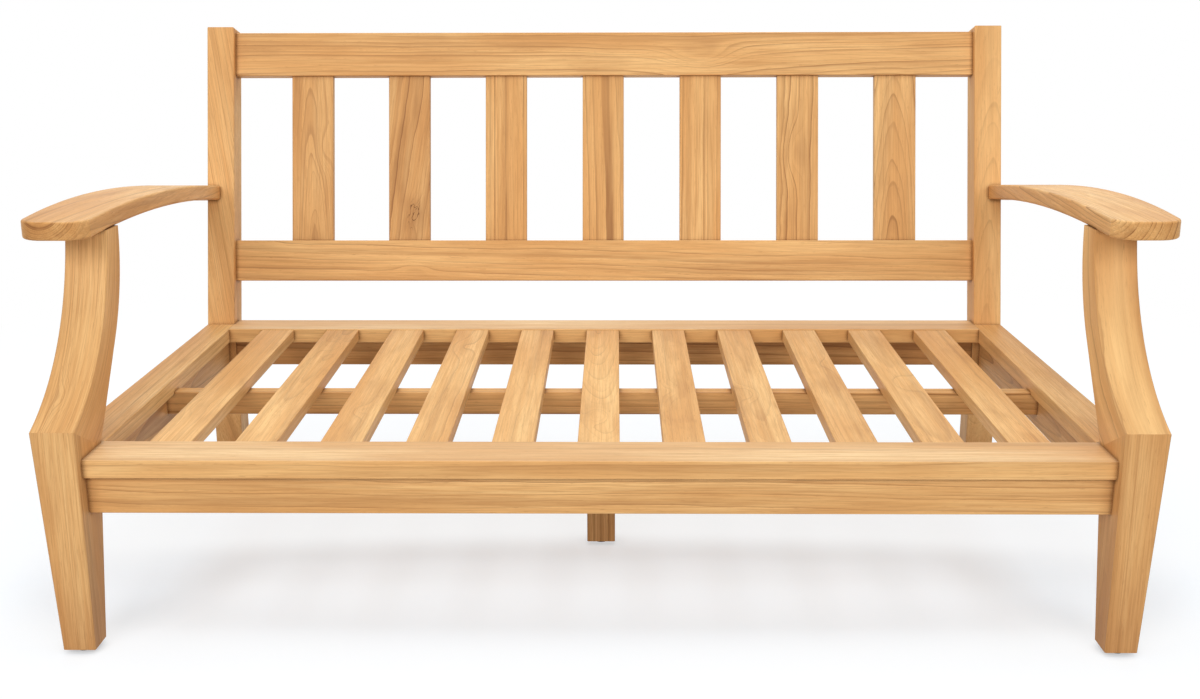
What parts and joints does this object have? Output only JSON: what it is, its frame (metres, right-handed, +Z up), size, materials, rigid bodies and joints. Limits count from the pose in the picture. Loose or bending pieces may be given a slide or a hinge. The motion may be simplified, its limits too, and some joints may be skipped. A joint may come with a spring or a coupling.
{
  "type": "patio loveseat",
  "caption": "Teak patio loveseat frame with a slatted deck, a slatted reclined back, broad arched arms on curved posts and tapered legs.",
  "frame": {"origin": "on the floor, under the middle of the loveseat's bounding box", "axes": "+X along the seat to the right of someone who looks at the front, +Y from the front to the back, +Z up"},
  "size_m": [1.5258, 0.9096, 0.7609],
  "materials": {
    "teak_frame": "sanded teak, light oil",
    "teak_arms": "sanded teak, light oil",
    "teak_slats": "sanded teak, light oil",
    "teak_back": "sanded teak, light oil",
    "dowel_wood": "plain",
    "glide_plastic": "matte",
    "stainless": "brushed"
  },
  "bodies": {
    "root": {"apron_back": "teak_frame", "apron_front": "teak_frame", "apron_left": "teak_frame", "apron_right": "teak_frame", "arm_dowels": "dowel_wood", "arm_left": "teak_arms", "arm_post_left": "teak_frame", "arm_post_right": "teak_frame", "arm_right": "teak_arms", "back_post_left": "teak_frame", "back_post_right": "teak_frame", "back_slat_1": "teak_back", "back_slat_2": "teak_back", "back_slat_3": "teak_back", "back_slat_4": "teak_back", "back_slat_5": "teak_back", "back_slat_6": "teak_back", "back_slat_7": "teak_back", "cap_dowels": "dowel_wood", "centre_beam": "teak_frame", "centre_bolt": "stainless", "centre_leg": "teak_frame", "centre_nut": "stainless", "centre_washer": "stainless", "front_leg_left": "teak_frame", "front_leg_right": "teak_frame", "glide_centre": "glide_plastic", "glide_front_left": "glide_plastic", "glide_front_right": "glide_plastic", "glide_rear_left": "glide_plastic", "glide_rear_right": "glide_plastic", "knee_dowels": "dowel_wood", "lower_back_rail": "teak_back", "seat_cap_back": "teak_frame", "seat_cap_front": "teak_frame", "seat_cap_left": "teak_frame", "seat_cap_right": "teak_frame", "seat_slat_01": "teak_slats", "seat_slat_02": "teak_slats", "seat_slat_03": "teak_slats", "seat_slat_04": "teak_slats", "seat_slat_05": "teak_slats", "seat_slat_06": "teak_slats", "seat_slat_07": "teak_slats", "seat_slat_08": "teak_slats", "seat_slat_09": "teak_slats", "seat_slat_10": "teak_slats", "seat_slat_11": "teak_slats", "slat_screws": "stainless", "top_back_rail": "teak_back"}
  },
  "joints": []
}
